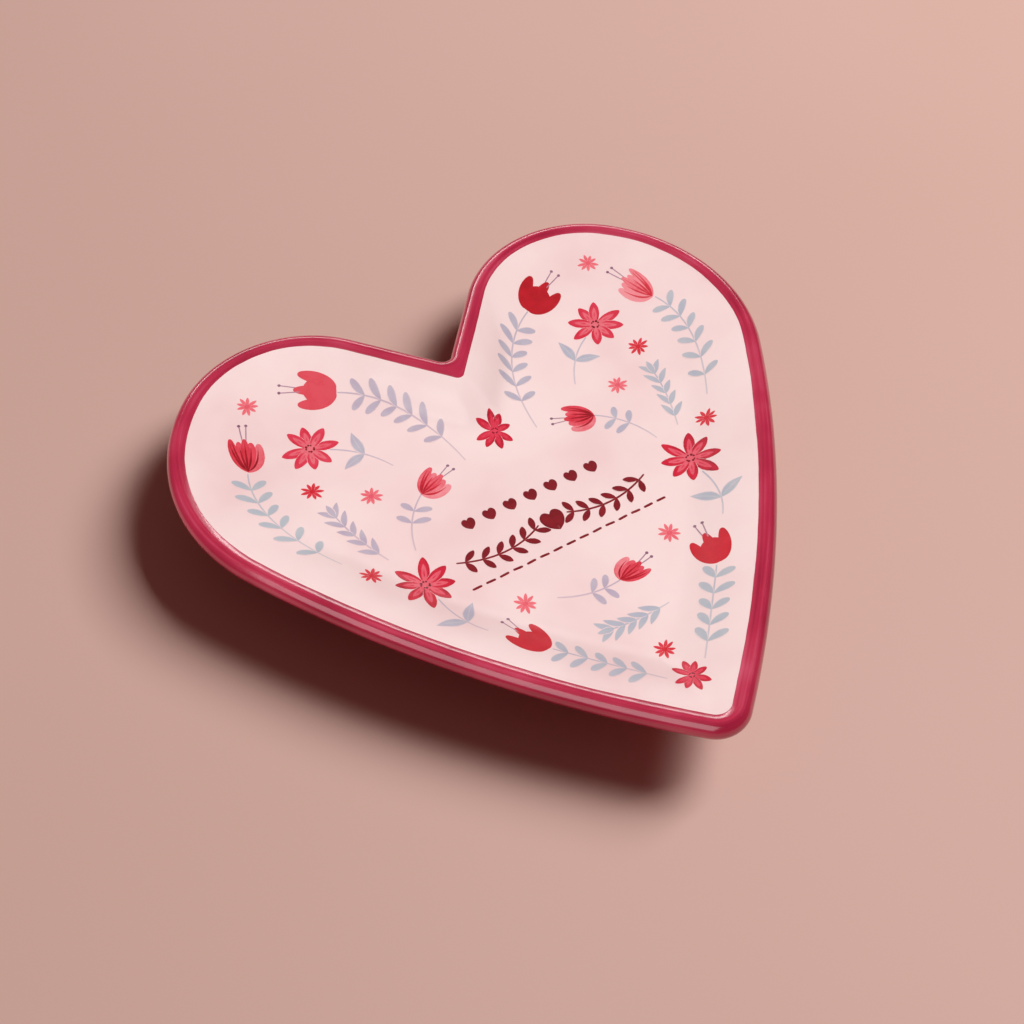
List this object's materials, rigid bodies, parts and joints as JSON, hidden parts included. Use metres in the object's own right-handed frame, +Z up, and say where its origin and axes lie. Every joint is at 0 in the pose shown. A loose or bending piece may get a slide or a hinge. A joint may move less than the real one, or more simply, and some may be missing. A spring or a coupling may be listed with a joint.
{
  "type": "heart-shaped trinket dish",
  "caption": "Shallow heart-shaped trinket dish in glazed earthenware, with a rounded painted rim, a hollow printed with flowers and a heart-shaped foot ring.",
  "frame": {"origin": "centre of the heart outline's box, on the plane that the foot ring stands on", "axes": "+Y towards the notch between the lobes, -Y towards the tip, +X across the lobes, +Z up out of the hollow"},
  "size_m": [0.12, 0.1194, 0.015],
  "materials": {
    "clay": "matt fired white earthenware, bare at the foot",
    "blush_glaze": "gloss blush-white glaze",
    "raspberry_glaze": "gloss raspberry glaze, brushed on by hand",
    "base_glaze": "gloss blush-white glaze",
    "red_print": "red watercolour print under clear gloss",
    "coral_print": "coral watercolour print under clear gloss",
    "star_print": "light coral print under clear gloss",
    "sprig_print": "pale blue-grey print under clear gloss",
    "maroon_print": "dark maroon print under clear gloss"
  },
  "bodies": {
    "root": {"clay_body": "clay", "inner_glaze": "blush_glaze", "rim_glaze": "raspberry_glaze", "base_glaze": "base_glaze", "tulip_prints": "red_print", "daisy_prints": "coral_print", "star_prints": "star_print", "sprig_prints": "sprig_print", "ornament_print": "maroon_print"}
  },
  "joints": []
}
